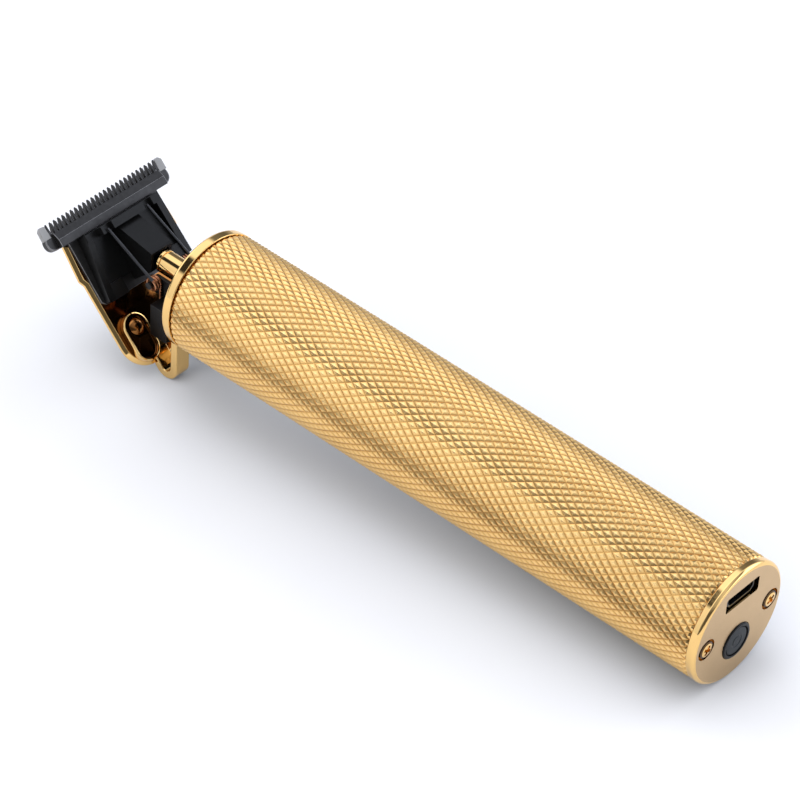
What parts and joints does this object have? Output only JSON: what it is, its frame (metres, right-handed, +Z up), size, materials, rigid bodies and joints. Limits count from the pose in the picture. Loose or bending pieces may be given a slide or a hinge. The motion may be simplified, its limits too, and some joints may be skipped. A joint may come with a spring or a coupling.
{
  "type": "hair clipper",
  "caption": "Cordless hair clipper with a knurled gold metal body, a T-shaped black blade on a gold plate held by two bent hooks, and a push button in the rear cap.",
  "frame": {"origin": "centre of the bounding box at its base, on the surface the clipper lies on", "axes": "+X from the rear cap towards the blade, +Y across the blade, +Z up; the body's axis rises 3.6 degrees towards the blade"},
  "size_m": [0.159, 0.0332, 0.033],
  "materials": {
    "polished_gold": "polished, gold plated",
    "knurled_gold": "diamond knurled, gold plated",
    "satin_gold": "satin, gold plated",
    "button_black": "fine satin",
    "black_plastic": "satin black",
    "blade_black": "black coated, ground edges",
    "steel": "plain",
    "copper": "coppery wire and sheet",
    "rubber": "matt",
    "nylon": "satin",
    "board_green": "lacquered",
    "cell_wrap": "shrink sleeve",
    "wire_red": "silicone insulation",
    "magnet": "ferrite",
    "sintered_bronze": "oil-filled bronze",
    "carbon": "pressed carbon"
  },
  "bodies": {
    "body": {"knurled_sleeve": "knurled_gold", "front_ring": "polished_gold", "rear_cap": "satin_gold", "rear_cap_screws": "polished_gold", "rear_gasket": "rubber", "button_switch": "steel", "usb_shell": "steel", "usb_tongue": "black_plastic", "circuit_board": "board_green", "board_chips": "black_plastic", "rear_frame": "black_plastic", "chassis_upper": "black_plastic", "chassis_lower": "black_plastic", "chassis_screws": "steel", "battery_cell": "cell_wrap", "battery_tabs": "steel", "battery_cushions": "rubber", "lead_red": "wire_red", "lead_black": "black_plastic", "motor_can": "steel", "motor_magnets": "magnet", "motor_bushes": "sintered_bronze", "motor_end_cap": "black_plastic", "motor_brushes": "carbon", "motor_terminals": "copper", "motor_mount": "black_plastic", "motor_screws": "steel", "nose_cap": "black_plastic", "shaft_seal": "rubber", "nose_seal": "rubber", "spring_holder": "black_plastic", "spring_studs": "steel", "torsion_spring_left": "copper", "torsion_spring_right": "copper", "blade_plate": "polished_gold", "hook_left": "polished_gold", "hook_right": "polished_gold", "hook_screws": "polished_gold", "pad_screws": "polished_gold", "blade_screws": "steel", "fixed_blade": "blade_black"},
    "rotor": {"motor_shaft": "steel", "motor_armature": "copper", "commutator": "copper", "drive_hub": "polished_gold"},
    "carriage": {"moving_blade": "blade_black", "blade_carriage": "black_plastic"},
    "button": {"power_button": "button_black", "switch_plunger": "nylon"}
  },
  "joints": [
    {"name": "drive_spin", "type": "hinge", "parent": "body", "child": "rotor", "pos_m": [0.05075, 0, 0.02055], "axis": [0.998, 0, 0.0626], "continuous": true},
    {"name": "blade_slide", "type": "slide", "parent": "body", "child": "carriage", "axis": [0, 1, 0], "range_m": [-0.0006, 0.0006]},
    {"name": "button_press", "type": "slide", "parent": "body", "child": "button", "axis": [0.998, 0, 0.0626], "range_m": [0, 0.0006], "stiffness_N_per_m": 400, "springref_m": -0.0004}
  ]
}
